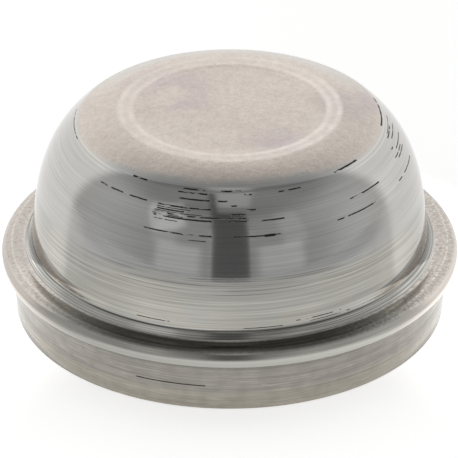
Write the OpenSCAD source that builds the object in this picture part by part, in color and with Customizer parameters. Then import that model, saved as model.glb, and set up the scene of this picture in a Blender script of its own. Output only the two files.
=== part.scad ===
// Hub grease cap: one deep-drawn steel pressing, all of it a revolve about Z.
// The origin is the centre of the open rim and +Z points to the closed crown.

/* [Sheet] */
// Thickness of the steel sheet
sheet = 1.3; // [0.8:0.1:1.8]
// Slit left between the two layers of the folded flange
hem_gap = 0.2; // [0.05:0.05:0.5]
// Width of the small flats broken on the edges of the rim
rim_break = 0.2; // [0.05:0.05:0.35]

/* [Skirt] */
// Outside diameter of the press-fit skirt
skirt_d = 55.5; // [46:0.5:80]
// Height from the rim to the underside of the flange
skirt_h = 6.35; // [5:0.05:12]
// Height of the slightly tapered lead-in above the rim
lead_h = 2.4; // [1:0.1:4]
// How much the lead-in draws in at the rim, on the radius
lead_in = 0.12; // [0:0.01:0.3]

/* [Flange] */
// Hollow corner radius between the skirt and the flange
seat_corner = 0.2; // [0.1:0.05:0.5]
// Width of the flat seat under the flange, before the fold rounds off
seat_w = 0.05; // [0.05:0.05:2]
// Height of the pressed foot ring above the flange
foot_h = 0.9; // [0.7:0.1:1.2]
// How far the top of the foot ring stands out past the neck
foot_out = 0.3; // [0.3:0.05:0.8]
// Lean of the foot ring's side, which is wider at the flange, in degrees
foot_lean = 35; // [20:1:45]
// Edge radius at the top of the foot ring
foot_edge = 0.1; // [0.05:0.05:0.2]
// Hollow corner radius between the foot ring and the neck
foot_corner = 0.2; // [0.05:0.05:0.2]
// Hollow corner radius between the foot ring's side and the flange
foot_fillet = 0.5; // [0.1:0.1:0.8]

/* [Neck] */
// Height of the straight neck above the foot ring
neck_h = 1.95; // [1:0.05:3]
// Lean of the neck, which is wider at the foot ring, in degrees
neck_flare = 7; // [4:1:10]

/* [Dome] */
// How far the wall is set in from the skirt where the neck ends, on the radius
wall_step = 2.45; // [1:0.05:4]
// Lean of the wall where it leaves the neck, in degrees
draft = 5; // [0:1:12]
// Height from the end of the neck to the shoulder
dome_h = 14.2; // [12:0.1:30]
// How far the dome draws in from the wall to the shoulder, on the radius
dome_turn = 5.7; // [3:0.1:9]
// Tilt of the surface where the shoulder starts, in degrees above level
shoulder_tilt = 50; // [40:1:60]
// How far the curve follows the wall before it turns in
wall_pull = 5.6; // [4:0.1:8]
// How far the curve follows the shoulder before it turns down
dome_pull = 5.6; // [4:0.1:8]

/* [Crown] */
// Inside bend radius of the shoulder
shoulder_in = 2.7; // [0.4:0.1:4]
// Slope of the crown where it meets the shoulder, in degrees
crown_slope = 24; // [16:1:30]
// Width from the start of the shoulder to the crest of the raised ring
crown_w = 6.5; // [4:0.1:9]
// Inside bend radius of the raised ring, towards the dished middle
ring_in = 4.7; // [1:0.1:6]
// Steepest slope between the ring and the dished middle, in degrees
dish_slope = 12; // [6:1:20]
// Radius of the hollow between the ring and the dished middle
dish_r = 6; // [2:0.1:8]

/* [Hidden] */
$fn = 180;

// Largest turn between neighbouring stations of an arc, in degrees
arc_step = 6;
// Pieces of the long curve from the wall to the shoulder
curve_steps = 30;
// How far the foot ring reaches into the sheet that carries it
foot_root = 0.3;

skirt_r = skirt_d / 2;
wall_r = skirt_r - wall_step;

// The fold is a half round of both layers and the slit
hem_r = sheet + hem_gap / 2;
hem_centre = [skirt_r + seat_corner + seat_w, skirt_h + hem_r];
flange_top = skirt_h + 2 * hem_r;
foot_top = flange_top + foot_h;
wall_z = foot_top + neck_h;
wall_start = [wall_r, wall_z];
foot_r = neck_at(foot_top) + foot_out;

// The shoulder, the ring and the dish are arcs that run into one another
shoulder_r = sheet + shoulder_in;
ring_r = sheet + ring_in;
crown_tilt = 90 - crown_slope;
shoulder_start = [wall_r - dome_turn, wall_z + dome_h];
shoulder_centre = shoulder_start - shoulder_r * along(shoulder_tilt);
shoulder_end = shoulder_centre + shoulder_r * along(crown_tilt);
ring_crest_r = shoulder_start[0] - crown_w;
crown_r = (shoulder_end[0] - ring_crest_r) / cos(crown_tilt);
crown_centre = shoulder_end - crown_r * along(crown_tilt);
ring_centre = crown_centre + (crown_r - ring_r) * along(90);
dish_tilt = 90 + dish_slope;
dish_centre = ring_centre + (ring_r + dish_r) * along(dish_tilt);

// Unit vector at an angle from the radius towards the axis of the cap
function along(angle) = [cos(angle), sin(angle)];

// Radius of the flared neck at a height
function neck_at(height) = wall_r + (wall_z - height) * tan(neck_flare);

// A station is a point on the sheet's outside with the outward normal there.
// Stations on an arc: side is 1 where the outside bulges and -1 where it is hollow.
function arc(centre, radius, from, to, side) =
    let (steps = max(2, ceil(abs(to - from) / arc_step)))
    [for (i = [0:steps])
        let (n = along(from + (to - from) * i / steps))
        [centre + radius * n, side * n]];

// Stations on a cubic curve through four control points
function curve(a, b, c, d) =
    [for (i = [0:curve_steps])
        let (t = i / curve_steps, u = 1 - t)
        let (run = u * u * (b - a) + 2 * u * t * (c - b) + t * t * (d - c))
        [u * u * u * a + 3 * u * u * t * b + 3 * u * t * t * c + t * t * t * d,
            [run[1], -run[0]] / norm(run)]];

// Sideways distance from the corner of a level face and a leaning side to its arc's centre
function setback(radius, lean) = radius * (1 - sin(lean)) / cos(lean);

// Stations of the hollow corner where a leaning side meets a level face at a point
function cove(corner, radius, lean) =
    arc(corner + [setback(radius, lean), radius], radius, 270, 180 + lean, -1);

// Stations of the hollow corner at the bottom of the neck, at a height
function neck_cove(height) = cove([neck_at(height), height], foot_corner, neck_flare);

// The sheet's outside from the rim, round the fold and up to the middle of the crown
outside = concat(
    [[[skirt_r - lead_in, rim_break], along(0)], [[skirt_r, lead_h], along(0)]],
    arc([skirt_r + seat_corner, skirt_h - seat_corner], seat_corner, 180, 90, -1),
    arc(hem_centre, hem_r, -90, 90, 1),
    neck_cove(flange_top),
    curve(
        wall_start,
        wall_start + wall_pull * along(90 + draft),
        shoulder_start - dome_pull * along(90 + shoulder_tilt),
        shoulder_start),
    arc(shoulder_centre, shoulder_r, shoulder_tilt, crown_tilt, 1),
    arc(crown_centre, crown_r, crown_tilt, 90, 1),
    arc(ring_centre, ring_r, 90, dish_tilt, 1),
    arc(dish_centre, dish_r, 180 + dish_tilt, 270, -1),
    [[[0, dish_centre[1] - dish_r], along(90)]]);

// Half section of the sheet, the outside and back along the inside
module sheet_section() {
    last = len(outside) - 1;
    rim_out = outside[0][0][0];
    polygon(concat(
        [[rim_out - rim_break, 0]],
        [for (s = outside) s[0]],
        [for (i = [last:-1:0]) outside[i][0] - sheet * outside[i][1]],
        [[rim_out - sheet + rim_break, 0]]));
}

// Half section of the foot ring pressed up round the bottom of the neck
module foot_section() {
    root_r = wall_r - foot_root;
    foot_base_r = foot_r + foot_h * tan(foot_lean);
    fillet = cove([foot_base_r, flange_top], foot_fillet, foot_lean);
    edge_centre = [foot_r - setback(foot_edge, foot_lean), foot_top - foot_edge];
    polygon(concat(
        [[root_r, flange_top - foot_root], [fillet[0][0][0], flange_top - foot_root]],
        [for (s = fillet) s[0]],
        [for (s = arc(edge_centre, foot_edge, foot_lean, 90, 1)) s[0]],
        [for (s = neck_cove(foot_top)) s[0]],
        [[root_r, foot_top + foot_corner]]));
}

// The whole cap: skirt, folded flange, foot ring, neck, dome and dished crown
module grease_cap() {
    color("#b9b4ab")
        rotate_extrude() {
            sheet_section();
            foot_section();
        }
}

grease_cap();
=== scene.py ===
# %% [markdown]
# # A hub grease cap in bare drawn steel
# The cap is one steel pressing. A blank is drawn into a cup, its edge is folded
# into a flange, and the end of the sheet becomes the skirt that is driven into the hub.
# The exact part is already made and is loaded here as a fixed frame. This lesson turns
# a new skin around the same axis, with the fine tool marks that the exact part leaves out.

# %% Load the exact part
import math

import bpy
import numpy as np
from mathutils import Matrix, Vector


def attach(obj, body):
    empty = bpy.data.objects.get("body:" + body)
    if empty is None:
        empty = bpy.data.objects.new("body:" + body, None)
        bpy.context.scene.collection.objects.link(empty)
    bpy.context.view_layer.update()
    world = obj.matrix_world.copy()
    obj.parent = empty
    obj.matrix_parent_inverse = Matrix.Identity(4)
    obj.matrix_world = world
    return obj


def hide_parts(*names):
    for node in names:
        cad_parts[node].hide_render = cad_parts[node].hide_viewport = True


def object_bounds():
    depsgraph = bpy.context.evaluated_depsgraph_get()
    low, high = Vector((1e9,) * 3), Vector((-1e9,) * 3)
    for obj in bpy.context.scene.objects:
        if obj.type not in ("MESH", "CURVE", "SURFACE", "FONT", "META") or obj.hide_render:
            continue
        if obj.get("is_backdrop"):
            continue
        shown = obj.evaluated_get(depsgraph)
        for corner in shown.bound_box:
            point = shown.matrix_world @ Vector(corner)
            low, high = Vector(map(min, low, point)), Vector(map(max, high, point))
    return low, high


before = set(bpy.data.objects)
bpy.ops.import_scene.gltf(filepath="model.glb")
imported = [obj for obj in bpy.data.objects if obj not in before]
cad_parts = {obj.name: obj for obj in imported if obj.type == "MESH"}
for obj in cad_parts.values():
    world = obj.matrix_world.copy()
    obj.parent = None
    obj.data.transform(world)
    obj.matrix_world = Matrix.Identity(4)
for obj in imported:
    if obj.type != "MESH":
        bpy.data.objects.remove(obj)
cad_low, cad_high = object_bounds()
MM = 0.001
print("exact part, mm:", [round(v / MM, 3) for v in cad_high - cad_low])

# %% [markdown]
# ## The section of the sheet
# Everything about this object follows from one curve, the outside of the sheet, so the
# curve is written down once from named sizes in millimetres. Each station keeps the
# direction that its surface faces. Stepping back along that direction by the sheet's
# thickness gives the inside, just as a real sheet has the same thickness all over.

# %% Sizes of the section, in millimetres and degrees
sheet = 1.3
hem_gap = 0.2
rim_break = 0.2
skirt_r = 55.5 / 2
skirt_h = 6.35
lead_h = 2.4
lead_in = 0.12
seat_corner = 0.2
seat_w = 0.05
foot_h = 0.9
foot_out = 0.3
foot_lean = 35
foot_edge = 0.1
foot_corner = 0.2
foot_fillet = 0.5
neck_h = 1.95
neck_flare = 7
wall_step = 2.45
draft = 5
dome_h = 14.2
dome_turn = 5.7
dome_pull = 5.6
shoulder_tilt = 50
shoulder_in = 2.7
crown_slope = 24
crown_w = 6.5
ring_in = 4.7
dish_slope = 12
dish_r = 6.0

# %% Heights and radii that follow from them
wall_r = skirt_r - wall_step
shoulder_r = sheet + shoulder_in
ring_r = sheet + ring_in
hem_r = sheet + hem_gap / 2
hem_centre = np.array([skirt_r + seat_corner + seat_w, skirt_h + hem_r])
flange_top = skirt_h + 2 * hem_r
foot_top = flange_top + foot_h
wall_z = foot_top + neck_h
crown_tilt = 90 - crown_slope
dish_tilt = 90 + dish_slope
print("tops of the flange and the foot ring:", round(flange_top, 3), round(foot_top, 3))

# %% Arcs and curves as lists of stations
ARC_STEP = 4.0
SMALL_ARC_STEP = 15
COVE_STEP = 10
CURVE_STATIONS = 56


def along(degrees):
    """Unit vector in the section, from the radius towards the axis."""
    turned = math.radians(degrees)
    return np.array([math.cos(turned), math.sin(turned)])


def arc(centre, radius, start, end, side, step=ARC_STEP):
    """Stations on an arc. The side is 1 where the outside bulges and -1 where it is hollow."""
    count = max(2, math.ceil(abs(end - start) / step))
    turned = [start + (end - start) * i / count for i in range(count + 1)]
    return [(np.array(centre) + radius * along(t), side * along(t)) for t in turned]


def cubic(a, b, c, d, count=CURVE_STATIONS):
    """Stations on a cubic curve that bulges outwards."""
    stations = []
    for i in range(count + 1):
        t = i / count
        u = 1 - t
        run = u * u * (b - a) + 2 * u * t * (c - b) + t * t * (d - c)
        point = u**3 * a + 3 * u * u * t * b + 3 * u * t * t * c + t**3 * d
        stations.append((point, np.array([run[1], -run[0]]) / np.linalg.norm(run)))
    return stations


def line(a, b, count):
    """Stations on a straight run, without its two ends."""
    a, b = np.array(a), np.array(b)
    run = (b - a) / np.linalg.norm(b - a)
    face = np.array([run[1], -run[0]])
    return [(a + (b - a) * i / count, face) for i in range(1, count)]


# %% The flared neck and the hollow corners at its foot
def neck_at(height):
    """Radius of the flared neck at a height."""
    return wall_r + (wall_z - height) * math.tan(math.radians(neck_flare))


def setback(radius, lean):
    """Sideways distance from a corner of a level face and a leaning side to its arc's centre."""
    return radius * (1 - along(lean)[1]) / along(lean)[0]


def cove(corner, radius, lean):
    """The hollow corner where a leaning side meets a level face at a point."""
    centre = [corner[0] + setback(radius, lean), corner[1] + radius]
    return arc(centre, radius, 270, 180 + lean, -1, COVE_STEP)


def neck_cove(height):
    """The hollow corner at the bottom of the neck, at a height."""
    return cove([neck_at(height), height], foot_corner, neck_flare)


foot_r = neck_at(foot_top) + foot_out
foot_base_r = foot_r + foot_h * math.tan(math.radians(foot_lean))
print("radius of the foot ring, top and base:", round(foot_r, 3), round(foot_base_r, 3))

# %% The skirt, the fold and the neck
SKIRT_ROWS = 4
NECK_ROWS = 8
skirt = [(np.array([skirt_r - lead_in, rim_break]), along(0)), (np.array([skirt_r, lead_h]), along(0))]
skirt += line([skirt_r, lead_h], [skirt_r, skirt_h - seat_corner], SKIRT_ROWS)
seat_centre = [skirt_r + seat_corner, skirt_h - seat_corner]
skirt += arc(seat_centre, seat_corner, 180, 90, -1, SMALL_ARC_STEP)
fold = arc(hem_centre, hem_r, -90, 90, 1)
wall_start = np.array([wall_r, wall_z])
neck = line(neck_cove(foot_top)[-1][0], wall_start, NECK_ROWS)
print("stations below the dome:", len(skirt) + len(fold) + len(neck))

# %% The dome and the crown, as a curve and arcs that run into one another
SHOULDER_STEP, CROWN_STEP, RING_STEP = 3, 1, 2
DISH_ROWS = 8
shoulder_start = np.array([wall_r - dome_turn, wall_z + dome_h])
shoulder_centre = shoulder_start - shoulder_r * along(shoulder_tilt)
shoulder_end = shoulder_centre + shoulder_r * along(crown_tilt)
ring_crest_r = shoulder_start[0] - crown_w
crown_r = (shoulder_end[0] - ring_crest_r) / math.cos(math.radians(crown_tilt))
crown_centre = shoulder_end - crown_r * along(crown_tilt)
ring_centre = crown_centre + (crown_r - ring_r) * along(90)
dish_centre = ring_centre + (ring_r + dish_r) * along(dish_tilt)
dish_z = dish_centre[1] - dish_r
dome = cubic(
    wall_start,
    wall_start + dome_pull * along(90 + draft),
    shoulder_start - dome_pull * along(90 + shoulder_tilt),
    shoulder_start)
dome += arc(shoulder_centre, shoulder_r, shoulder_tilt, crown_tilt, 1, SHOULDER_STEP)
dome += arc(crown_centre, crown_r, crown_tilt, 90, 1, CROWN_STEP)
dome += arc(ring_centre, ring_r, 90, dish_tilt, 1, RING_STEP)
dome += arc(dish_centre, dish_r, 180 + dish_tilt, 270, -1, RING_STEP)
dome += line([dish_centre[0], dish_z], [0, dish_z], DISH_ROWS)
crown_z = max(point[1] for point, face in dome)
print("height of the section:", round(crown_z, 3), "widest:", round(hem_centre[0] + hem_r, 3))

# %% [markdown]
# ## Fine relief
# A pressing keeps a trace of each tool that touched it. The fold has a narrow flat ledge
# beside the foot ring, where the sheet was ironed down, and a faint line above and below
# its crest. These steps are a few hundredths of a millimetre, too small for the exact
# part, but they catch light as thin bright and dark lines. A bump in the shader would
# shade them too, but it can't bend the bright edge of the fold, so the skin has real
# shape there.

# %% Lines pressed into the fold and the crown
LINE_DEPTH, LINE_WIDTH = 0.03, 3.0
UPPER_LINE, LOWER_LINE = 31, -40
CREST_DEPTH, CREST_WIDTH = 0.01, 12
TOP_DEPTH, TOP_WIDTH = 0.001, 5


def relief(stations, place, depth, width):
    """Press a rounded line into stations, round the place where they face in one direction."""
    pressed = []
    for point, face in stations:
        faced = math.degrees(math.atan2(face[1], face[0]))
        dip = depth * math.exp(-(((faced - place) / width) ** 2))
        pressed.append((point - dip * face, face))
    return pressed


fold_skin = relief(fold, UPPER_LINE, LINE_DEPTH, LINE_WIDTH)
fold_skin = relief(fold_skin, LOWER_LINE, LINE_DEPTH, LINE_WIDTH)
fold_skin = relief(fold_skin, 0, CREST_DEPTH, CREST_WIDTH)
dome_skin = relief(dome, 90, TOP_DEPTH, TOP_WIDTH)
print("widest point of the skin:", round(max(point[0] for point, face in fold_skin), 3))

# %% The foot ring and the ironed ledge beside it
LEDGE_W, LEDGE_DROP, LEDGE_STEP = 0.3, 0.02, 0.1
foot = cove([foot_base_r, flange_top], foot_fillet, foot_lean)
ledge_r = foot[0][0][0]
ledge = [
    (np.array([ledge_r + LEDGE_W, flange_top]), along(90)),
    (np.array([ledge_r + LEDGE_W - LEDGE_STEP, flange_top - LEDGE_DROP]), along(90)),
    (np.array([ledge_r + LEDGE_STEP, flange_top - LEDGE_DROP]), along(90))]
edge_centre = [foot_r - setback(foot_edge, foot_lean), foot_top - foot_edge]
foot += arc(edge_centre, foot_edge, foot_lean, 90, 1, SMALL_ARC_STEP)
foot += neck_cove(foot_top)
print("ledge from radius", round(ledge_r, 3), "to", round(ledge_r + LEDGE_W, 3))

# %% The inside, one sheet thickness behind the outside
CLOSEST = 0.15
plain = skirt + fold + neck_cove(flange_top) + dome
behind = [point - sheet * face for point, face in plain]
inside = []
for point in reversed(behind):
    if not inside or np.linalg.norm(point - inside[-1]) > CLOSEST:
        inside.append(point)
rim_out = skirt_r - lead_in
rim = [np.array([rim_out - sheet + rim_break, 0]), np.array([rim_out - rim_break, 0])]
outside = [point for point, face in skirt + fold_skin + ledge + foot + neck + dome_skin]
section = [np.array([0, dish_z - sheet])] + inside + rim + outside + [np.array([0, dish_z])]
first_outside = 1 + len(inside) + len(rim)
print("points in the section:", len(section))

# %% [markdown]
# ## Turning the section
# A lathe repeats the section around the axis. Blender's Screw modifier does the same to
# a drawn line, but here the points are worked out directly: the order of the faces is
# then known, and the inside can get a finish of its own further down. The two ends of the
# section lie on the axis and become single points, so the skin closes without a seam or
# a doubled face.

# %% Turn the skin
TURNS = 300
SAME_POINT = 1e-6


def lathe(name, points, count):
    """A closed skin of revolution. The first and last points lie on the axis."""
    cleaned = [points[0]]
    for point in points[1:]:
        if np.linalg.norm(point - cleaned[-1]) > SAME_POINT:
            cleaned.append(point)
    rings = np.array(cleaned[1:-1])
    angles = np.arange(count) * 2 * math.pi / count
    x = np.outer(rings[:, 0], np.cos(angles))
    y = np.outer(rings[:, 0], np.sin(angles))
    z = np.repeat(rings[:, 1:], count, axis=1)
    vertices = np.stack([x, y, z], axis=2).reshape(-1, 3)
    start, end = len(vertices), len(vertices) + 1
    ends = [[0, 0, cleaned[0][1]], [0, 0, cleaned[-1][1]]]
    vertices = np.concatenate([vertices, ends]) * MM
    faces = []
    for i in range(count):
        j = (i + 1) % count
        faces.append((start, j, i))
        for ring in range(len(rings) - 1):
            low, high = ring * count, (ring + 1) * count
            faces.append((low + i, low + j, high + j, high + i))
        last = (len(rings) - 1) * count
        faces.append((last + i, last + j, end))
    mesh = bpy.data.meshes.new(name)
    mesh.from_pydata([tuple(v) for v in vertices], [], faces)
    mesh.shade_smooth()
    made = bpy.data.objects.new(name, mesh)
    bpy.context.scene.collection.objects.link(made)
    return made, cleaned


cap, cap_section = lathe("cap_skin", section, TURNS)
triangles = sum(len(face.vertices) - 2 for face in cap.data.polygons)
print("triangles in the skin:", triangles)
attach(cap, "root")
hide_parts("grease_cap")

# %% [markdown]
# ## Shader sums as plain sums
# A finish is mostly arithmetic on where a point lies. Written as node calls that
# arithmetic is hard to read, so one small class stands for a node's output and lets
# plain Python sums add the nodes. The reflected forms let a sum start with a number.

# %% A wire that can be used in sums
class Wire:
    """One output of a node. A sum with it adds a maths node to the same tree."""

    def __init__(self, socket):
        self.socket = socket

    def add(self, kind, settings=None, values=None, output=0):
        """Add a node. Its settings come first, because they decide which sockets it has."""
        node = self.socket.id_data.nodes.new(kind)
        for name, value in (settings or {}).items():
            setattr(node, name, value)
        for name, value in (values or {}).items():
            if isinstance(value, Wire):
                self.socket.id_data.links.new(value.socket, node.inputs[name])
            else:
                node.inputs[name].default_value = value
        return Wire(node.outputs[output])

    def sum(self, operation, *values):
        """A maths node on one or two values."""
        return self.add("ShaderNodeMath", {"operation": operation}, dict(enumerate(values)))

    def __add__(self, other):
        return self.sum("ADD", self, other)

    def __radd__(self, other):
        return self.sum("ADD", other, self)

    def __sub__(self, other):
        return self.sum("SUBTRACT", self, other)

    def __rsub__(self, other):
        return self.sum("SUBTRACT", other, self)

    def __mul__(self, other):
        return self.sum("MULTIPLY", self, other)

    def __rmul__(self, other):
        return self.sum("MULTIPLY", other, self)

    def __truediv__(self, other):
        return self.sum("DIVIDE", self, other)

    def __neg__(self):
        return self.sum("SUBTRACT", 0.0, self)

    def __abs__(self):
        return self.sum("ABSOLUTE", self)

    def root(self):
        """The square root."""
        return self.sum("POWER", self, 0.5)

    def most(self, other):
        """The larger of two values."""
        return self.sum("MAXIMUM", self, other)

    def ramp(self, start, end, low=0.0, high=1.0):
        """Go smoothly from low to high while this value goes from start to end."""
        return self.add(
            "ShaderNodeMapRange",
            {"interpolation_type": "SMOOTHSTEP"},
            {"Value": self, "From Min": start, "From Max": end, "To Min": low, "To Max": high})

    def fall(self, start, end):
        """1 up to the start, falling smoothly to 0 at the end."""
        return self.ramp(start, end, 1.0, 0.0)

    def band(self, centre, half, soft):
        """1 within half of the centre, falling to 0 over the soft width."""
        return abs(self - centre).fall(half, half + soft)

    def noise(self, scale, detail=2.0, rough=0.5):
        """Cloudy noise from 0 to 1, with this wire as its place."""
        return self.add(
            "ShaderNodeTexNoise",
            {"noise_dimensions": "3D"},
            {"Vector": self, "Scale": scale, "Detail": detail, "Roughness": rough})

    def stretched(self, x, y, z):
        """This vector with each axis scaled."""
        return self.add("ShaderNodeVectorMath", {"operation": "MULTIPLY"}, {0: self, 1: (x, y, z)})

    def blend(self, first, second):
        """First colour where this mask is 0, second where it is 1."""
        return self.add(
            "ShaderNodeMix", {"data_type": "RGBA"}, {0: self, 6: first, 7: second}, output=2)

    def tint(self, colour):
        """A colour multiplied by this value."""
        grey = self.add("ShaderNodeCombineXYZ", {}, {0: self, 1: self, 2: self})
        return self.add(
            "ShaderNodeVectorMath", {"operation": "MULTIPLY"}, {0: grey, 1: colour})


# %% Helpers for whole materials
def parts(vector):
    """The x, y and z of a vector wire."""
    node = vector.add("ShaderNodeSeparateXYZ", {}, {0: vector}).socket.node
    return [Wire(output) for output in node.outputs]


def heading(right, ahead):
    """Degrees round from straight ahead, positive to the right, seen from above."""
    return right.sum("ARCTAN2", right, ahead) * math.degrees(1)


def largest(wires):
    """The largest of several values at each place."""
    found = wires[0]
    for wire in wires[1:]:
        found = found.most(wire)
    return found


def new_material(name):
    """An empty material with its shader and output, and a wire of places in millimetres."""
    material = bpy.data.materials.new(name)
    material.use_nodes = True
    nodes = material.node_tree.nodes
    shader = nodes["Principled BSDF"]
    start = Wire(nodes.new("ShaderNodeTexCoord").outputs["Object"])
    return material, shader, start.stretched(1 / MM, 1 / MM, 1 / MM)


def plug(shader, name, wire):
    """Feed one socket of the shader from a wire."""
    shader.id_data.links.new(wire.socket, shader.inputs[name])


# %% [markdown]
# ## Places on the outside
# The steel's finish depends on the height, the distance from the axis and the turn from
# the front. Tool marks run round the cap, so their noise is read from a place that
# changes slowly round the axis and fast across it. That draws the noise out into lines.
# An unwrapped map could hold the lines as well, but it would show a seam somewhere, and
# places in millimetres need no map at all.

# %% Height, radius and turn
TINY = 0.001
steel, steel_shader, place = new_material("drawn_steel")
x, y, z = parts(place)
radius = (x * x + y * y).root().most(TINY)
angle = heading(x, -y)
turn = abs(angle)
round_x = x / radius
round_y = y / radius
across = z - radius


def streak(turn_rate, run_rate, detail=2.0, shift=0.0):
    """Noise drawn out around the axis. The rates say how fast it changes around and across."""
    vector = place.add(
        "ShaderNodeCombineXYZ", {},
        {0: round_x * turn_rate, 1: round_y * turn_rate, 2: across * run_rate + shift})
    return vector.noise(1.0, detail)


print("nodes for the places:", len(steel.node_tree.nodes))

# %% Noises that the whole finish shares
NOISE_RANGE = (0.3, 0.7)
MID_RANGE = (0.35, 0.65)
grain = place.noise(scale=1.6, detail=5.0, rough=0.65)
fine_grain = place.noise(scale=3.2, detail=3.0, rough=0.7)
cloud = place.noise(scale=0.18, detail=3.0)
broad_lines = streak(turn_rate=0.8, run_rate=2.2, detail=3.0, shift=9.0)
lines = streak(turn_rate=1.2, run_rate=4.5, detail=4.0)
fine_lines = streak(turn_rate=2.0, run_rate=10.0, detail=2.0, shift=17.0)
print("nodes with the noises:", len(steel.node_tree.nodes))

# %% [markdown]
# ## Where the finish changes
# The crown was only stretched, so it keeps the sheet's matte grain. The wall was dragged
# through the die, which burnished it and drew fine lines around it. The flange and the
# skirt were folded and ironed, and are satin. Each zone is a mask made of height and
# radius, so it wraps round the cap with no seam.

# %% Masks of the zones
LOW_WALL = (15.5, 17.8)
FLANGE_START = (flange_top - 0.65, flange_top - 0.15)
FLANGE_END = (flange_top + 0.05, flange_top + 0.15)
FOOT_START = (flange_top + 0.01, flange_top + 0.15)
FOOT_END = (foot_top + 0.15, foot_top + 0.3)
WALL_START = (foot_top + 0.05, foot_top + 0.25)
SKIRT_END = (skirt_h - 0.05, skirt_h + 0.25)
LEAD_END = (lead_h - 0.1, lead_h + 0.1)
CROWN_START = (26.05, 26.75)
CROWN_WANDER = 0.5
CROWN_LIFT, LIFT_TURNS = 0.65, (20, 70)

crown_edge = (place.noise(scale=0.25) - 0.5) * CROWN_WANDER
crown = (z + crown_edge - turn.ramp(*LIFT_TURNS, CROWN_LIFT, 0.0)).ramp(*CROWN_START)
wall = z.ramp(*WALL_START) * (1 - crown)
lower_wall = z.fall(*LOW_WALL) * wall
flange_mask = z.ramp(*FLANGE_START) * z.fall(*FLANGE_END)
foot_mask = z.ramp(*FOOT_START) * z.fall(*FOOT_END)
skirt_mask = z.fall(*SKIRT_END)
lead_mask = z.fall(*LEAD_END)
print("nodes with the masks:", len(steel.node_tree.nodes))

# %% Mask of the pale ring on the crown, painted brighter on the right and dimmer at the back
RING_EDGES = [14.0, 12.6]
EDGE_HALF, EDGE_SOFT = 0.1, 0.5
RING_MIDDLE, RING_HALF, RING_SOFT = 13.3, 0.5, 0.9
FILL_SHARE, EDGE_SHARE = 0.6, 0.4
RING_BACK, BACK_SHARE = (2, 10), 0.45
RING_RIGHT, RIGHT_SHARE = (3, 12), 1.4
RING_PATCHES, PATCH_SHARE = (0.3, 0.6), 0.55

ring_edges = largest([radius.band(edge, EDGE_HALF, EDGE_SOFT) for edge in RING_EDGES])
ring = radius.band(RING_MIDDLE, RING_HALF, RING_SOFT) * FILL_SHARE + ring_edges * EDGE_SHARE
# Painted light: the ring is painted dimmer at the back and brighter on the right.
ring = ring * y.ramp(*RING_BACK, 1.0, BACK_SHARE) * x.ramp(*RING_RIGHT, 1.0, RIGHT_SHARE)
ring = ring * place.noise(scale=0.35, detail=3.0).ramp(*RING_PATCHES, PATCH_SHARE, 1.0)
print("nodes with the ring:", len(steel.node_tree.nodes))

# %% [markdown]
# ## Drag marks
# Grit in the die scores short dark arcs around the dome. They lie at a few heights, where
# the die's own edges are, and each is broken into dashes. Cut as real shape they would
# need faces finer than the whole skin has, so they are a mask, which later darkens,
# roughens and sinks the steel. The list names each height and width in millimetres with
# the arcs on it, in degrees from the front, seen from above.

# %% The scored arcs
SCORES = [
    (26.43, 0.09, [(-38.3, -31.8), (-17.3, -8.8), (-3.1, 4.2), (42.1, 55.0), (84, 107)]),
    (26.12, 0.08, [(-18.9, -8.0), (5.2, 8.0), (17.9, 26.5)]),
    (26.04, 0.05, [(-100, -76)]),
    (25.75, 0.06, [(82, 96)]),
    (25.57, 0.09, [(-17.8, -6.8), (-4.2, -0.9), (79.5, 88.9)]),
    (25.15, 0.08, [(0.6, 2.4), (81.7, 93.0)]),
    (24.75, 0.09, [(-49.6, -29.0), (-24.8, -6.0), (4.6, 8.8), (75.7, 77.8)]),
    (24.52, 0.05, [(-25, -13)]),
    (24.32, 0.09, [(-24.7, -15.2), (0.5, 5.0), (79.0, 91.0)]),
    (24.13, 0.05, [(-25.5, -9), (0.5, 5.5)]),
    (23.95, 0.09, [(-26, 5.3), (74, 84)]),
    (23.78, 0.05, [(-26, -15), (0, 6)]),
    (23.62, 0.10, [(-25.4, -5.7), (-0.5, 5.3), (9.9, 17.9), (43.0, 58.1), (76.4, 85.6)]),
    (23.3, 0.05, [(-25, -17)]),
    (22.03, 0.10, [(-27.6, -5.5), (1.0, 15.9), (35.6, 52.5), (68.4, 85.7)]),
    (22.0, 0.2, [(10.8, 14.2)]),
    (21.45, 0.06, [(-12.7, -7.3)]),
    (10.8, 0.06, [(-27, -17), (19, 33)]),
    (10.42, 0.05, [(-58, -44), (4, 15), (23, 36)]),
    (3.43, 0.10, [(-24.9, -6.3)])]
END_FADE = 0.6
RAGGED = 0.08
DASH_EDGE = (0.36, 0.46)


def scored(height, width, arcs):
    """1 on arcs at one height, with soft ends and a ragged line."""
    reaches = [angle.band((start + end) / 2, (end - start - END_FADE) / 2, END_FADE) for start, end in arcs]
    return abs(z - height + ragged).fall(width / 2, width) * largest(reaches)


ragged = (streak(turn_rate=40, run_rate=3.0, shift=5.0) - 0.5) * RAGGED
dash = streak(turn_rate=18, run_rate=1.5, detail=3.0).ramp(*DASH_EDGE).most(skirt_mask)
marks = largest([scored(*score) for score in SCORES]) * dash
print("scored arcs:", sum(len(arcs) for height, width, arcs in SCORES))
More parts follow.
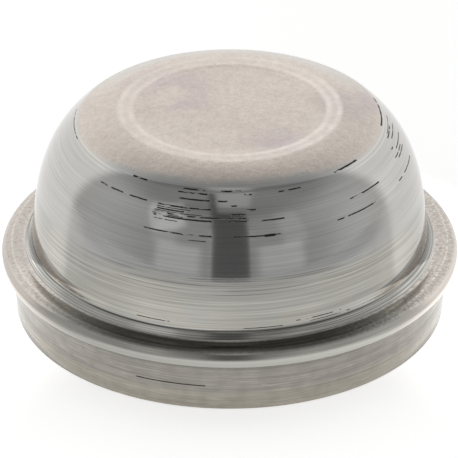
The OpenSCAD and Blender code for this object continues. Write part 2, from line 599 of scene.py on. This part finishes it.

# %% [markdown]
# ## Colours of the zones
# Bare steel is a metal all over, so its colour is the colour of its mirror image. The
# crown is warmer because its matte skin holds a film of oxide and oil, with a few mauve
# stains. Its pale ring is painted brighter on the right and dimmer at the back, and the
# far edge of the crown greyer, as painted light. The wall is nearly neutral, painted
# warmer on its flanks as a painted reflection. The flange is painted darker at the front
# and the foot ring lighter on its flanks, as painted shade and painted highlight, and the
# corners beside the foot ring get painted shade. One material blends them all through the
# masks, because on one pressing no zone ends in a sharp line.

# %% Colour of the crown
CROWN = (0.70, 0.63, 0.57, 1)
CROWN_DARK = (0.57, 0.50, 0.465, 1)
CROWN_MAUVE = (0.575, 0.50, 0.495, 1)
CROWN_FAR_LIGHT = (0.665, 0.64, 0.61, 1)
GRAIN_DARK, GRAIN_SHARE = (0.35, 0.7), 0.45
CLOUD_DARK, CLOUD_SHARE = (0.4, 0.7), 0.2
SPOT_CORE, SPOT_CLOUD, SPOT_GRAIN = 0.3, (0.3, 0.6), (0.6, 1.0)
MAUVE_SPOTS = [(-7.5, 4.5, 8.5), (6, -9, 6), (16, 2, 7)]
FAR_EDGE, FAR_BACK, FAR_GREY = (15.2, 16.8), (4, 12), 0.75


def spot(right, back, reach):
    """1 at a place on the crown, fading to 0 at the reach."""
    aside_x, aside_y = x - right, y - back
    return (aside_x * aside_x + aside_y * aside_y).root().fall(reach * SPOT_CORE, reach)


mottle = grain.ramp(*GRAIN_DARK) * GRAIN_SHARE + cloud.ramp(*CLOUD_DARK) * CLOUD_SHARE
crown_colour = mottle.blend(CROWN, CROWN_DARK)
mauve = largest([spot(*place_and_reach) for place_and_reach in MAUVE_SPOTS]) * cloud.ramp(*SPOT_CLOUD)
crown_colour = (mauve * grain.ramp(*NOISE_RANGE, *SPOT_GRAIN)).blend(crown_colour, CROWN_MAUVE)
# Painted light: the far edge of the crown, at the back, is painted greyer.
far_edge_light = radius.ramp(*FAR_EDGE) * y.ramp(*FAR_BACK)
crown_colour = (far_edge_light * FAR_GREY).blend(crown_colour, CROWN_FAR_LIGHT)
print("mauve stains:", len(MAUVE_SPOTS))

# %% Colour of the wall
WALL = (0.54, 0.545, 0.54, 1)
WALL_FLANK_REFLECTION = (0.53, 0.515, 0.495, 1)
WALL_LOW = (0.57, 0.55, 0.50, 1)
FLANK_TURNS = (35, 60)
LOW_CLOUD, LOW_SHARE = (0.35, 0.6), 0.6
# Painted reflection: the wall is painted warmer and a little darker on its flanks.
wall_colour = turn.ramp(*FLANK_TURNS).blend(WALL, WALL_FLANK_REFLECTION)
wall_colour = (lower_wall * cloud.ramp(*LOW_CLOUD, LOW_SHARE, 1.0)).blend(wall_colour, WALL_LOW)
print("nodes with the wall's colour:", len(steel.node_tree.nodes))

# %% Colour of the flange, the foot ring and the skirt
FLANGE = (0.60, 0.55, 0.505, 1)
FLANGE_FRONT_SHADE = (0.465, 0.458, 0.425, 1)
FOOT = (0.44, 0.435, 0.41, 1)
FOOT_FLANK_HIGHLIGHT = (0.64, 0.62, 0.585, 1)
SKIRT = (0.31, 0.295, 0.266, 1)
LEAD = (0.345, 0.32, 0.277, 1)
FLANGE_TURNS, FOOT_TURNS = (40, 64), (62, 80)
# Painted shade and highlight: the flange is painted darker at the front, and the foot ring is dark at the
# front and light on its flanks.
low_colour = turn.ramp(*FLANGE_TURNS).blend(FLANGE_FRONT_SHADE, FLANGE)
low_colour = foot_mask.blend(low_colour, turn.ramp(*FOOT_TURNS).blend(FOOT, FOOT_FLANK_HIGHLIGHT))
low_colour = skirt_mask.blend(low_colour, SKIRT)
low_colour = lead_mask.blend(low_colour, LEAD)
print("nodes with the flange's colour:", len(steel.node_tree.nodes))

# %% Painted shade in the two corners of the foot ring
CORNER_R, CORNER_HALF, CORNER_SOFT = 27.75, 0.85, 0.4
CORNER_START, CORNER_END = (8.3, 8.7), (9.2, 9.4)
CORNER_TURNS, CORNER_DEPTH = (25, 66), (0.7, 0.05)
COVE_Z, COVE_HALF, COVE_SOFT, COVE_R = 10.1, 0.07, 0.05, (25.66, 25.74)
COVE_TURNS, COVE_DEPTH = (30, 60), (0.75, 0.3)
corner_shade = radius.band(CORNER_R, CORNER_HALF, CORNER_SOFT)
corner_shade = corner_shade * z.ramp(*CORNER_START) * z.fall(*CORNER_END)
cove_shade = z.band(COVE_Z, COVE_HALF, COVE_SOFT) * radius.fall(*COVE_R)
low_colour = (1 - corner_shade * turn.ramp(*CORNER_TURNS, *CORNER_DEPTH)).tint(low_colour)
low_colour = (1 - cove_shade * turn.ramp(*COVE_TURNS, *COVE_DEPTH)).tint(low_colour)
print("nodes with the grime:", len(steel.node_tree.nodes))

# %% The zones joined
RING_PALE_AND_LIT = (0.87, 0.80, 0.755, 1)
RING_GRAIN, RING_SHARE = (0.2, 0.8), (0.5, 0.9)
JOIN = (foot_top - 0.05, foot_top + 0.15)
colour = z.ramp(*JOIN).blend(low_colour, wall_colour)
colour = crown.blend(colour, crown_colour)
colour = (ring * grain.ramp(*RING_GRAIN, *RING_SHARE)).blend(colour, RING_PALE_AND_LIT)
print("nodes with the zones joined:", len(steel.node_tree.nodes))

# %% [markdown]
# ## Lines round the wall
# A drawn wall has lines at every scale. Three noises of different fineness darken and
# lighten the steel a little, more on the lower wall and most on the foot ring.
# A few deeper rings, where the die's mouth ended, are single bands at their own heights.
# All of it is gathered in one value, the shade, which multiplies the colour at the end.

# %% Fine lines
LINE_BASE, LINE_LOW_WALL, LINE_FOOT, LINE_SKIRT, LINE_FLANGE_LESS = 0.08, 0.11, 0.42, 0.05, 0.6
FINE_SHARE, LINE_SHARE = 0.6, 0.7
BROAD_LIGHT, BROAD_DARK = 1.03, 0.96
line_depth = LINE_BASE + lower_wall * LINE_LOW_WALL + foot_mask * LINE_FOOT + skirt_mask * LINE_SKIRT
line_depth = line_depth * (1 - flange_mask * LINE_FLANGE_LESS)
fine_part = fine_lines.ramp(*NOISE_RANGE, -1.0, 1.0) * FINE_SHARE
line_part = lines.ramp(*NOISE_RANGE, -1.0, 1.0) * LINE_SHARE
shade = 1 - (fine_part + line_part) * line_depth
shade = shade * broad_lines.ramp(*NOISE_RANGE, BROAD_LIGHT, BROAD_DARK)
print("nodes with the lines:", len(steel.node_tree.nodes))

# %% Rings on the lower wall, as height and depth
WALL_RINGS = [
    (17.8, 0.12), (17.36, 0.16), (16.85, 0.4), (16.58, 0.25), (16.08, 0.38), (15.41, 0.38), (14.9, 0.25)]
WALL_RING_HALF, WALL_RING_SOFT = 0.02, 0.08
WALL_RING_TURNS, WALL_RING_SIDE = (60, 30), 0.3
WALL_RING_BREAKS = (0.35, 0.55)
for height, depth in WALL_RINGS:
    broken = streak(turn_rate=3, run_rate=0.2, shift=height).ramp(*WALL_RING_BREAKS)
    broken = broken * turn.ramp(*WALL_RING_TURNS, WALL_RING_SIDE, 1.0)
    shade = shade * (1 - z.band(height, WALL_RING_HALF, WALL_RING_SOFT) * broken * depth)
print("rings on the wall:", len(WALL_RINGS))

# %% Painted shade on stretches of the lower wall
SIDE_TURNS, SIDE_DEPTH = (56, 72), 0.15
LEFT_STRETCH, LEFT_DEPTH = (-44, 8, 12), 0.1
shade = shade * (1 - turn.ramp(*SIDE_TURNS) * lower_wall * SIDE_DEPTH)
shade = shade * (1 - angle.band(*LEFT_STRETCH) * lower_wall * LEFT_DEPTH)
print("nodes with the wall's tone:", len(steel.node_tree.nodes))

# %% [markdown]
# ## Wear of the skirt and the flange, and painted light on them
# The skirt has short pale scratches and a few faint turned lines from the sizing tool. The
# flange keeps the sheet's mottle and small pits, with one pale line beside the ledge that
# is a painted highlight on the flanks. A stretch of the skirt is painted darker and a
# stretch of the flange lighter, as painted shade and painted light. Each is a factor close
# to 1 on the same shade, so one can be changed without the others.

# %% Tone of the skirt
SCRATCH_EDGE, SCRATCH_DEPTH = (0.58, 0.66), 0.2
SKIRT_LINES = [(5.85, 0.12, 0.15, 0.1), (4.98, 0.03, 0.08, 0.12), (2.5, 0.02, 0.07, -0.08)]
SKIRT_MOTTLE = 0.05
SKIRT_STRETCH, SKIRT_STRETCH_DEPTH = (-74, 5, 5), 0.08
skirt_tone = streak(turn_rate=7, run_rate=5.0, shift=31.0).ramp(*SCRATCH_EDGE) * SCRATCH_DEPTH
for height, half, soft, depth in SKIRT_LINES:
    skirt_tone = skirt_tone - z.band(height, half, soft) * depth
skirt_tone = skirt_tone + place.noise(scale=0.5, detail=4.0).ramp(*MID_RANGE, -SKIRT_MOTTLE, SKIRT_MOTTLE)
shade = shade * (1 + skirt_mask * skirt_tone)
# Painted shade: a stretch of the skirt on the left is painted darker.
shade = shade * (1 - skirt_mask * angle.band(*SKIRT_STRETCH) * SKIRT_STRETCH_DEPTH)
print("lines on the skirt:", len(SKIRT_LINES))

# %% Tone of the flange
FLANGE_STRETCH, FLANGE_STRETCH_GAIN = (-64, 8, 6), 0.13
PALE_LINE, PALE_TURNS, PALE_GAIN = (28.03, 0.06, 0.12), (45, 60), 0.2
MOTTLE_LIGHT, MOTTLE_DARK = -0.12, 0.2
MOTTLE_RIGHT, MOTTLE_RIGHT_GAIN = (6, 20), 1.6
PIT_EDGE, PIT_TURNS, PIT_DEPTH = (0.6, 0.68), (45, 65), 0.22
# Painted light: a stretch of the flange on the left is painted lighter.
shade = shade * (1 + flange_mask * angle.band(*FLANGE_STRETCH) * FLANGE_STRETCH_GAIN)
# Painted highlight: a pale line on the flange, seen only on the flanks.
flank_highlight_line = radius.band(*PALE_LINE) * flange_mask * turn.ramp(*PALE_TURNS)
shade = shade * (1 + flank_highlight_line * PALE_GAIN)
flange_mottle = place.noise(scale=2.2, detail=4.0, rough=0.7).ramp(*NOISE_RANGE, MOTTLE_LIGHT, MOTTLE_DARK)
flange_mottle = flange_mottle * x.ramp(*MOTTLE_RIGHT, 1.0, MOTTLE_RIGHT_GAIN)
shade = shade * (1 - flange_mask * flange_mottle)
pits = place.noise(scale=3.0).ramp(*PIT_EDGE) * flange_mask * turn.ramp(*PIT_TURNS)
shade = shade * (1 - pits * PIT_DEPTH)
print("nodes with the flange's tone:", len(steel.node_tree.nodes))

# %% [markdown]
# ## The painted crescent shadow beside the neck
# At the sides, where the wall ends and the neck begins, a dark crescent of painted shadow
# widens towards the back, and the steel just below it gets painted light. Its top and bottom
# change height with the turn from the front. The crown isn't touched by any of the lines,
# so its own tone comes after them.

# %% The painted crescent shadow and the painted light below it
CRESCENT_TURNS, CRESCENT_SOFT = (43, 46), (-0.05, 0.08)
TOP_TURNS, TOP_HEIGHTS = (42, 88), (11.15, 13.05)
LOW_TURNS, LOW_HEIGHTS = (40, 70), (11.35, 10.1)
DROP_TURNS, LOW_DROP = (68, 78), 0.6
FADE_TURNS, CRESCENT_DEPTH = (70, 84), (0.5, 0.4)
LEFT_TURNS, LEFT_LESS = (-50, -40), -0.08
BELOW_SOFT, BELOW_START, BELOW_GAIN = 0.1, (10.15, 10.25), 0.2
BELOW_FROM, BELOW_TO = (30, 45), (60, 75)
crescent_top = turn.ramp(*TOP_TURNS, *TOP_HEIGHTS)
crescent_low = turn.ramp(*LOW_TURNS, *LOW_HEIGHTS) - turn.ramp(*DROP_TURNS, 0.0, LOW_DROP)
crescent_shadow = (crescent_top - z).ramp(*CRESCENT_SOFT) * (z - crescent_low).ramp(*CRESCENT_SOFT)
crescent_shadow = crescent_shadow * turn.ramp(*CRESCENT_TURNS)
crescent_depth = turn.ramp(*FADE_TURNS, *CRESCENT_DEPTH) + angle.ramp(*LEFT_TURNS, LEFT_LESS, 0.0)
# Painted light: the steel just below the crescent is painted lighter.
below = (crescent_low - z).ramp(0, BELOW_SOFT) * z.ramp(*BELOW_START)
below = below * turn.ramp(*BELOW_FROM) * turn.fall(*BELOW_TO)
shade = crown * (1 - shade) + shade
shade = shade * (1 - crescent_shadow * crescent_depth) * (1 + below * BELOW_GAIN)
print("nodes with the crescent:", len(steel.node_tree.nodes))

# %% Tone of the crown, with painted light and painted highlights
EDGE_LINES = [(26.22, 0.02, 0.08), (25.88, 0.02, 0.07)]
EDGE_LINE_TURNS, EDGE_LINE_GAIN = (42, 56), 0.13
CLOUD_TONE, GRAIN_TONE = 0.03, 0.045
FAR_DISH, FAR_DISH_BACK, FAR_DISH_GAIN = (11.95, 0.35, 0.7), (2, 9), 0.2
BACK_REACH, BACK_GAIN = (-4, 9), 0.05
RIGHT_REACH, RIGHT_LESS = (9, 18), 0.09
crown_tone = place.noise(scale=0.9, detail=3.0).ramp(*MID_RANGE, CLOUD_TONE, -CLOUD_TONE)
crown_tone = crown_tone + fine_grain.ramp(*NOISE_RANGE, GRAIN_TONE, -GRAIN_TONE)
# Painted light: the back of the dish and the back of the crown are painted lighter, and the right of the
# crown darker.
crown_tone = crown_tone + radius.band(*FAR_DISH) * y.ramp(*FAR_DISH_BACK) * FAR_DISH_GAIN
crown_tone = crown_tone + y.ramp(*BACK_REACH) * BACK_GAIN - x.ramp(*RIGHT_REACH) * RIGHT_LESS
# Painted highlights: thin light lines at the crown's edge, on the flanks only.
edge_highlight = largest([z.band(*edge) for edge in EDGE_LINES]) * turn.ramp(*EDGE_LINE_TURNS)
shade = shade * (1 + crown * crown_tone) * (1 + edge_highlight * EDGE_LINE_GAIN)
print("nodes with the crown's tone:", len(steel.node_tree.nodes))

# %% Base colour
SCORE = (0.035, 0.033, 0.03, 1)
BEAD_START, BEAD_REACH, BEAD_SIDE_LIGHT = (28.4, 28.7), (-18, 18), (-0.1, 0.16)
bead_mask = radius.ramp(*BEAD_START) * (1 - skirt_mask) * (1 - flange_mask)
colour = shade.tint(colour)
colour = marks.blend(colour, SCORE)
# Painted light: the bead is painted darker on the left and lighter on the right.
colour = (1 + bead_mask * x.ramp(*BEAD_REACH, *BEAD_SIDE_LIGHT)).tint(colour)
plug(steel_shader, "Base Color", colour)
print("nodes in the colour:", len(steel.node_tree.nodes))

# %% [markdown]
# ## Gloss and relief
# Gloss decides whether the surroundings show as a mirror image or as a soft sheen. The
# burnished wall mirrors them, the crown only glows. The relief is a bump, because grain
# and hairlines are far smaller than any face of the skin.

# %% Gloss
WALL_ROUGH, CROWN_EXTRA, LINE_ROUGH, MARK_EXTRA = 0.105, 0.265, 0.05, 0.3
LOW_ROUGH = (8.0, 9.2, 0.145, 0.075)
gloss = CROWN_EXTRA * crown + WALL_ROUGH + (lines - 0.5) * LINE_ROUGH + marks * MARK_EXTRA
gloss = gloss + z.ramp(*LOW_ROUGH) * (1 - wall) * (1 - crown)
plug(steel_shader, "Roughness", gloss)
steel_shader.inputs["Metallic"].default_value = 1.0
print("roughness of the wall:", WALL_ROUGH)

# %% Relief
LINE_RELIEF, GRAIN_RELIEF, MARK_RELIEF = 0.004, 0.045, 0.012
relief_height = (lines - 0.5) * (1 - crown) * LINE_RELIEF + (grain - 0.5) * crown * GRAIN_RELIEF
relief_height = relief_height - marks * MARK_RELIEF
bump = relief_height.add(
    "ShaderNodeBump", {}, {"Strength": 1.0, "Distance": MM, "Height": relief_height})
plug(steel_shader, "Normal", bump)
print("nodes in the finish:", len(steel.node_tree.nodes))

# %% [markdown]
# ## The inside
# Nobody polishes the inside of a grease cap. It is duller and browner than the outside,
# with a stain of old oil. A mask by height can't tell the two sides of a thin sheet
# apart, so the inside has a material of its own on the faces behind the rim.

# %% Finish of the inside
INSIDE = (0.40, 0.37, 0.33, 1)
STAIN = (0.26, 0.22, 0.18, 1)
STAIN_EDGE = (0.42, 0.68)
DULL_ROUGH, DULL_GRAIN = 0.36, 0.2
dull, dull_shader, dull_place = new_material("drawn_steel_inside")
stain = dull_place.noise(scale=0.22, detail=4.0).ramp(*STAIN_EDGE)
plug(dull_shader, "Base Color", stain.blend(INSIDE, STAIN))
dull_grain = dull_place.noise(scale=2.2, detail=4.0)
plug(dull_shader, "Roughness", dull_grain * DULL_GRAIN + DULL_ROUGH)
dull_shader.inputs["Metallic"].default_value = 1.0
print("nodes in the inside's finish:", len(dull.node_tree.nodes))

# %% Each face of the skin gets one of the two
cap.data.materials.append(steel)
cap.data.materials.append(dull)
inner_faces = first_outside - 2
per_turn = len(cap_section) - 1
for index, face in enumerate(cap.data.polygons):
    face.material_index = 1 if index % per_turn < inner_faces else 0
print("faces round one section, inside and all:", inner_faces, per_turn)

# %% [markdown]
# ## The studio
# The cap stands on a pale table in a light tent. The tent is bright behind the cap and
# dimmer in front, with one dark narrow gap that the camera looks through. A polished
# wall shows all of that, so the surroundings matter more than any lamp. They could be
# built from panels, but a few masks on the direction of view are easier to place: front
# is the turn from straight ahead in degrees, and rise is the angle above the horizon.

# %% Directions
world = bpy.data.worlds.new("tent")
world.use_nodes = True
bpy.context.scene.world = world
sky = world.node_tree
direction = Wire(sky.nodes.new("ShaderNodeTexCoord").outputs["Generated"])
direction = direction.add("ShaderNodeVectorMath", {"operation": "NORMALIZE"}, {0: direction})
to_x, to_y, to_z = parts(direction)
front = heading(to_x, -to_y)
rise = to_z.sum("ARCSINE", to_z) * math.degrees(1)
IN_FRONT = (0.0, -0.1)
in_front = to_y.ramp(*IN_FRONT)
print("nodes for the directions:", len(sky.nodes))

# %% Cloth of the tent
FRONT_TO_SIDE, FRONT_LIGHT, SIDE_LIGHT = (-0.9, 0.0), 0.36, 0.56
BACK_EDGE, BACK_LIGHT = (101, 111), 0.46
RIGHT_EDGE, RIGHT_LIGHT = (0.8, 1.0), 0.07
ROOF_UP, ROOF_BACK, ROOF_LESS = (0.52, 1.0), (-0.35, 0.1), 0.68
HIGH_UP, HIGH_FRONT, HIGH_LESS = (34, 54), (0.1, -0.25), 0.38
TOP_EDGE, TOP_LAMP = (0.985, 0.995), 0.2
PANELS = [((30, 10, 6), (4, 8, 5), 0.18), ((40, 5, 5), (28, 12, 8), 0.09)]
tent = to_y.ramp(*FRONT_TO_SIDE, FRONT_LIGHT, SIDE_LIGHT)
tent = tent + abs(front).ramp(*BACK_EDGE, 0.0, BACK_LIGHT)
for across_band, up_band, light in PANELS:
    tent = tent + abs(front).band(*across_band) * rise.band(*up_band) * light
tent = tent + to_x.ramp(*RIGHT_EDGE) * RIGHT_LIGHT
tent = tent * (1 - to_z.ramp(*ROOF_UP) * to_y.ramp(*ROOF_BACK) * ROOF_LESS)
tent = tent * (1 - rise.ramp(*HIGH_UP) * to_y.ramp(*HIGH_FRONT) * HIGH_LESS)
tent = tent + to_z.ramp(*TOP_EDGE, 0.0, TOP_LAMP)
print("panels in the tent:", len(PANELS))

# %% A slanted bright panel on the left and a lamp above the gap
SLANT, SLANT_BAND = 0.57, (-23.5, 13, 1.5)
TIP_TURN, TIP_RATE, TIP_BAND = 37, 0.45, (32, 11.5, 1.5)
PANEL_LIGHT, LAMP_LIGHT = 0.2, 0.16
LAMP_ACROSS, LAMP_UP = (0.03, 0.13, 0.02), (66, 8, 2)
slant = front + rise * SLANT
panel = slant.band(*SLANT_BAND) * (rise - (slant + TIP_TURN) * TIP_RATE).band(*TIP_BAND)
lamp = to_x.band(*LAMP_ACROSS) * rise.band(*LAMP_UP) * in_front
tent = tent + panel * PANEL_LIGHT + lamp * LAMP_LIGHT
print("nodes with the lamp:", len(sky.nodes))

# %% The dark gap, its post and the two light slits beside it
GAP_ACROSS, GAP_UP, GAP_DEPTH = (0.8, 10.5, 1.2), (21, 28, 3), 0.68
POST_ACROSS, POST_UP, POST_DEPTH = (-0.14, 0.022, 0.012), (40, 30, 3), 0.66
SLIT_MIDDLE, SLIT_ASIDE, SLIT_ACROSS, SLIT_UP = 0.008, 0.195, (0, 0.005, 0.01), (12, 18, 3)
SLIT_LIGHT = 0.14
gap = front.band(*GAP_ACROSS) * rise.band(*GAP_UP)
post = to_x.band(*POST_ACROSS) * rise.band(*POST_UP) * in_front
slits = (abs(to_x - SLIT_MIDDLE) - SLIT_ASIDE).band(*SLIT_ACROSS) * rise.band(*SLIT_UP) * in_front
tent = tent * (1 - (gap * GAP_DEPTH).most(post * POST_DEPTH)) + slits * SLIT_LIGHT
print("nodes with the gap:", len(sky.nodes))

# %% Below the horizon in front, the tent is as bright as the table
TABLE_LIGHT, BELOW_RISE, BELOW_FRONT = 0.5, (-7, -10), (0.0, -0.2)
TENT_TINT = (1.0, 1.0, 0.99)
floor_mask = rise.ramp(*BELOW_RISE) * to_y.ramp(*BELOW_FRONT)
tent = tent + floor_mask * (TABLE_LIGHT - tent)
background = sky.nodes["Background"]
sky.links.new(tent.tint(TENT_TINT).socket, background.inputs["Color"])
background.inputs["Strength"].default_value = 1.0
print("nodes in the tent:", len(sky.nodes))

# %% [markdown]
# ## The table
# The skirt and the lower wall mirror the table, so its light matters as much as the
# tent's. It is matte paper with a glow of its own, brightest beside and behind the
# cap, and a pool of light close round it. It ends in front of the cap, where the gap is.

# %% Shape of the table
TABLE_R = 1.5
TABLE_FRONT = 0.15
TABLE_DROP = 0.00002
TABLE_SIDES = 96
corner = math.asin(TABLE_FRONT / TABLE_R)
edge_turns = np.linspace(-corner, math.pi + corner, TABLE_SIDES)
edge = [(TABLE_R * math.cos(t), TABLE_R * math.sin(t), -TABLE_DROP) for t in edge_turns]
table_mesh = bpy.data.meshes.new("table")
table_mesh.from_pydata(edge, [], [tuple(range(len(edge)))])
table = bpy.data.objects.new("table", table_mesh)
bpy.context.scene.collection.objects.link(table)
print("corners of the table:", len(edge))

# %% Light of the table
ASIDE_X, ASIDE_Y, ASIDE_LEAST = 20, -14, 0.01
POOL_X, POOL_Y = 0.5, 1.3
POOL_REACH, POOL_TURNS, POOL_LIGHT = (60, 120), (90, 106), 0.2
BACK_TURNS, BACK_GLOW = (86, 114), (0.05, 0.42)
FAR_TURNS, FAR_GLOW = (103, 109), 0.12
LEFT_EDGE, LEFT_GLOW = (-10, 10), 0.05
ROUND_TURNS, ROUND_R, ROUND_FADE = (36, 58), (50, 35), 9
GLOW_TURNS, ROUND_GLOW = (38, 85), (0.62, 1.12)
paper, paper_shader, paper_place = new_material("table")
table_x, table_y = parts(paper_place)[:2]
ahead = abs(heading(table_x, -table_y))
beside = (abs(table_x) - ASIDE_X).most(ASIDE_LEAST)
aside = heading(beside, ASIDE_Y - table_y)
distance = (table_x * table_x + table_y * table_y).root()
reach = (table_x * table_x * POOL_X + table_y * table_y * POOL_Y).root()
pool = reach.ramp(*POOL_REACH, POOL_LIGHT, 0.0) * aside.fall(*POOL_TURNS)
glow = aside.ramp(*BACK_TURNS, *BACK_GLOW) + aside.ramp(*FAR_TURNS, 0.0, FAR_GLOW)
glow = glow + pool + table_x.ramp(*LEFT_EDGE, LEFT_GLOW, 0.0)
round_cap = (distance - ahead.ramp(*ROUND_TURNS, *ROUND_R)).fall(0, ROUND_FADE)
glow = round_cap * (ahead.ramp(*GLOW_TURNS, *ROUND_GLOW) - glow) + glow
print("nodes in the table's light:", len(paper.node_tree.nodes))

# %% Paper of the table
PAPER = (0.86, 0.86, 0.86, 1)
WHITE = (1.0, 1.0, 1.0)
paper_shader.inputs["Base Color"].default_value = PAPER
paper_shader.inputs["Roughness"].default_value = 1.0
paper_shader.inputs["Specular IOR Level"].default_value = 0.0
plug(paper_shader, "Emission Color", glow.tint(WHITE))
paper_shader.inputs["Emission Strength"].default_value = 1.0
table.data.materials.append(paper)
table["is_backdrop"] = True
print("table below the rim by, mm:", round(TABLE_DROP / MM, 3))

# %% [markdown]
# ## The camera
# A long lens far away keeps the circles of the cap nearly parallel, while a short one
# close by would make the crown look wider than the skirt. It looks down at the cap from
# the front, a hair to one side of the axis.

# %% Camera
far = 0.6
look_down = 29.2
aim = (-0.00009, 0.0, 0.01035)
lens_mm, sensor_mm = 366.4, 36.0
nearest, farthest = 0.05, 20.0
tilt = math.radians(look_down)
camera_data = bpy.data.cameras.new("camera")
camera_data.lens = lens_mm
camera_data.sensor_width = sensor_mm
camera_data.clip_start = nearest
camera_data.clip_end = farthest
camera = bpy.data.objects.new("camera", camera_data)
camera.location = (aim[0], aim[1] - far * math.cos(tilt), aim[2] + far * math.sin(tilt))
camera.rotation_euler = (math.radians(90) - tilt, 0, 0)
bpy.context.scene.collection.objects.link(camera)
bpy.context.scene.camera = camera
bpy.context.scene.view_settings.view_transform = "Standard"
bpy.context.scene.view_settings.look = "None"
print("camera above the table, mm:", round(camera.location.z / MM, 1))

# %% Compare the sizes
new_low, new_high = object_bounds()
room = [*(new_low - cad_low), *(cad_high - new_high)]
print("skin inside the exact box by, mm:", [round(v / MM, 4) for v in room])
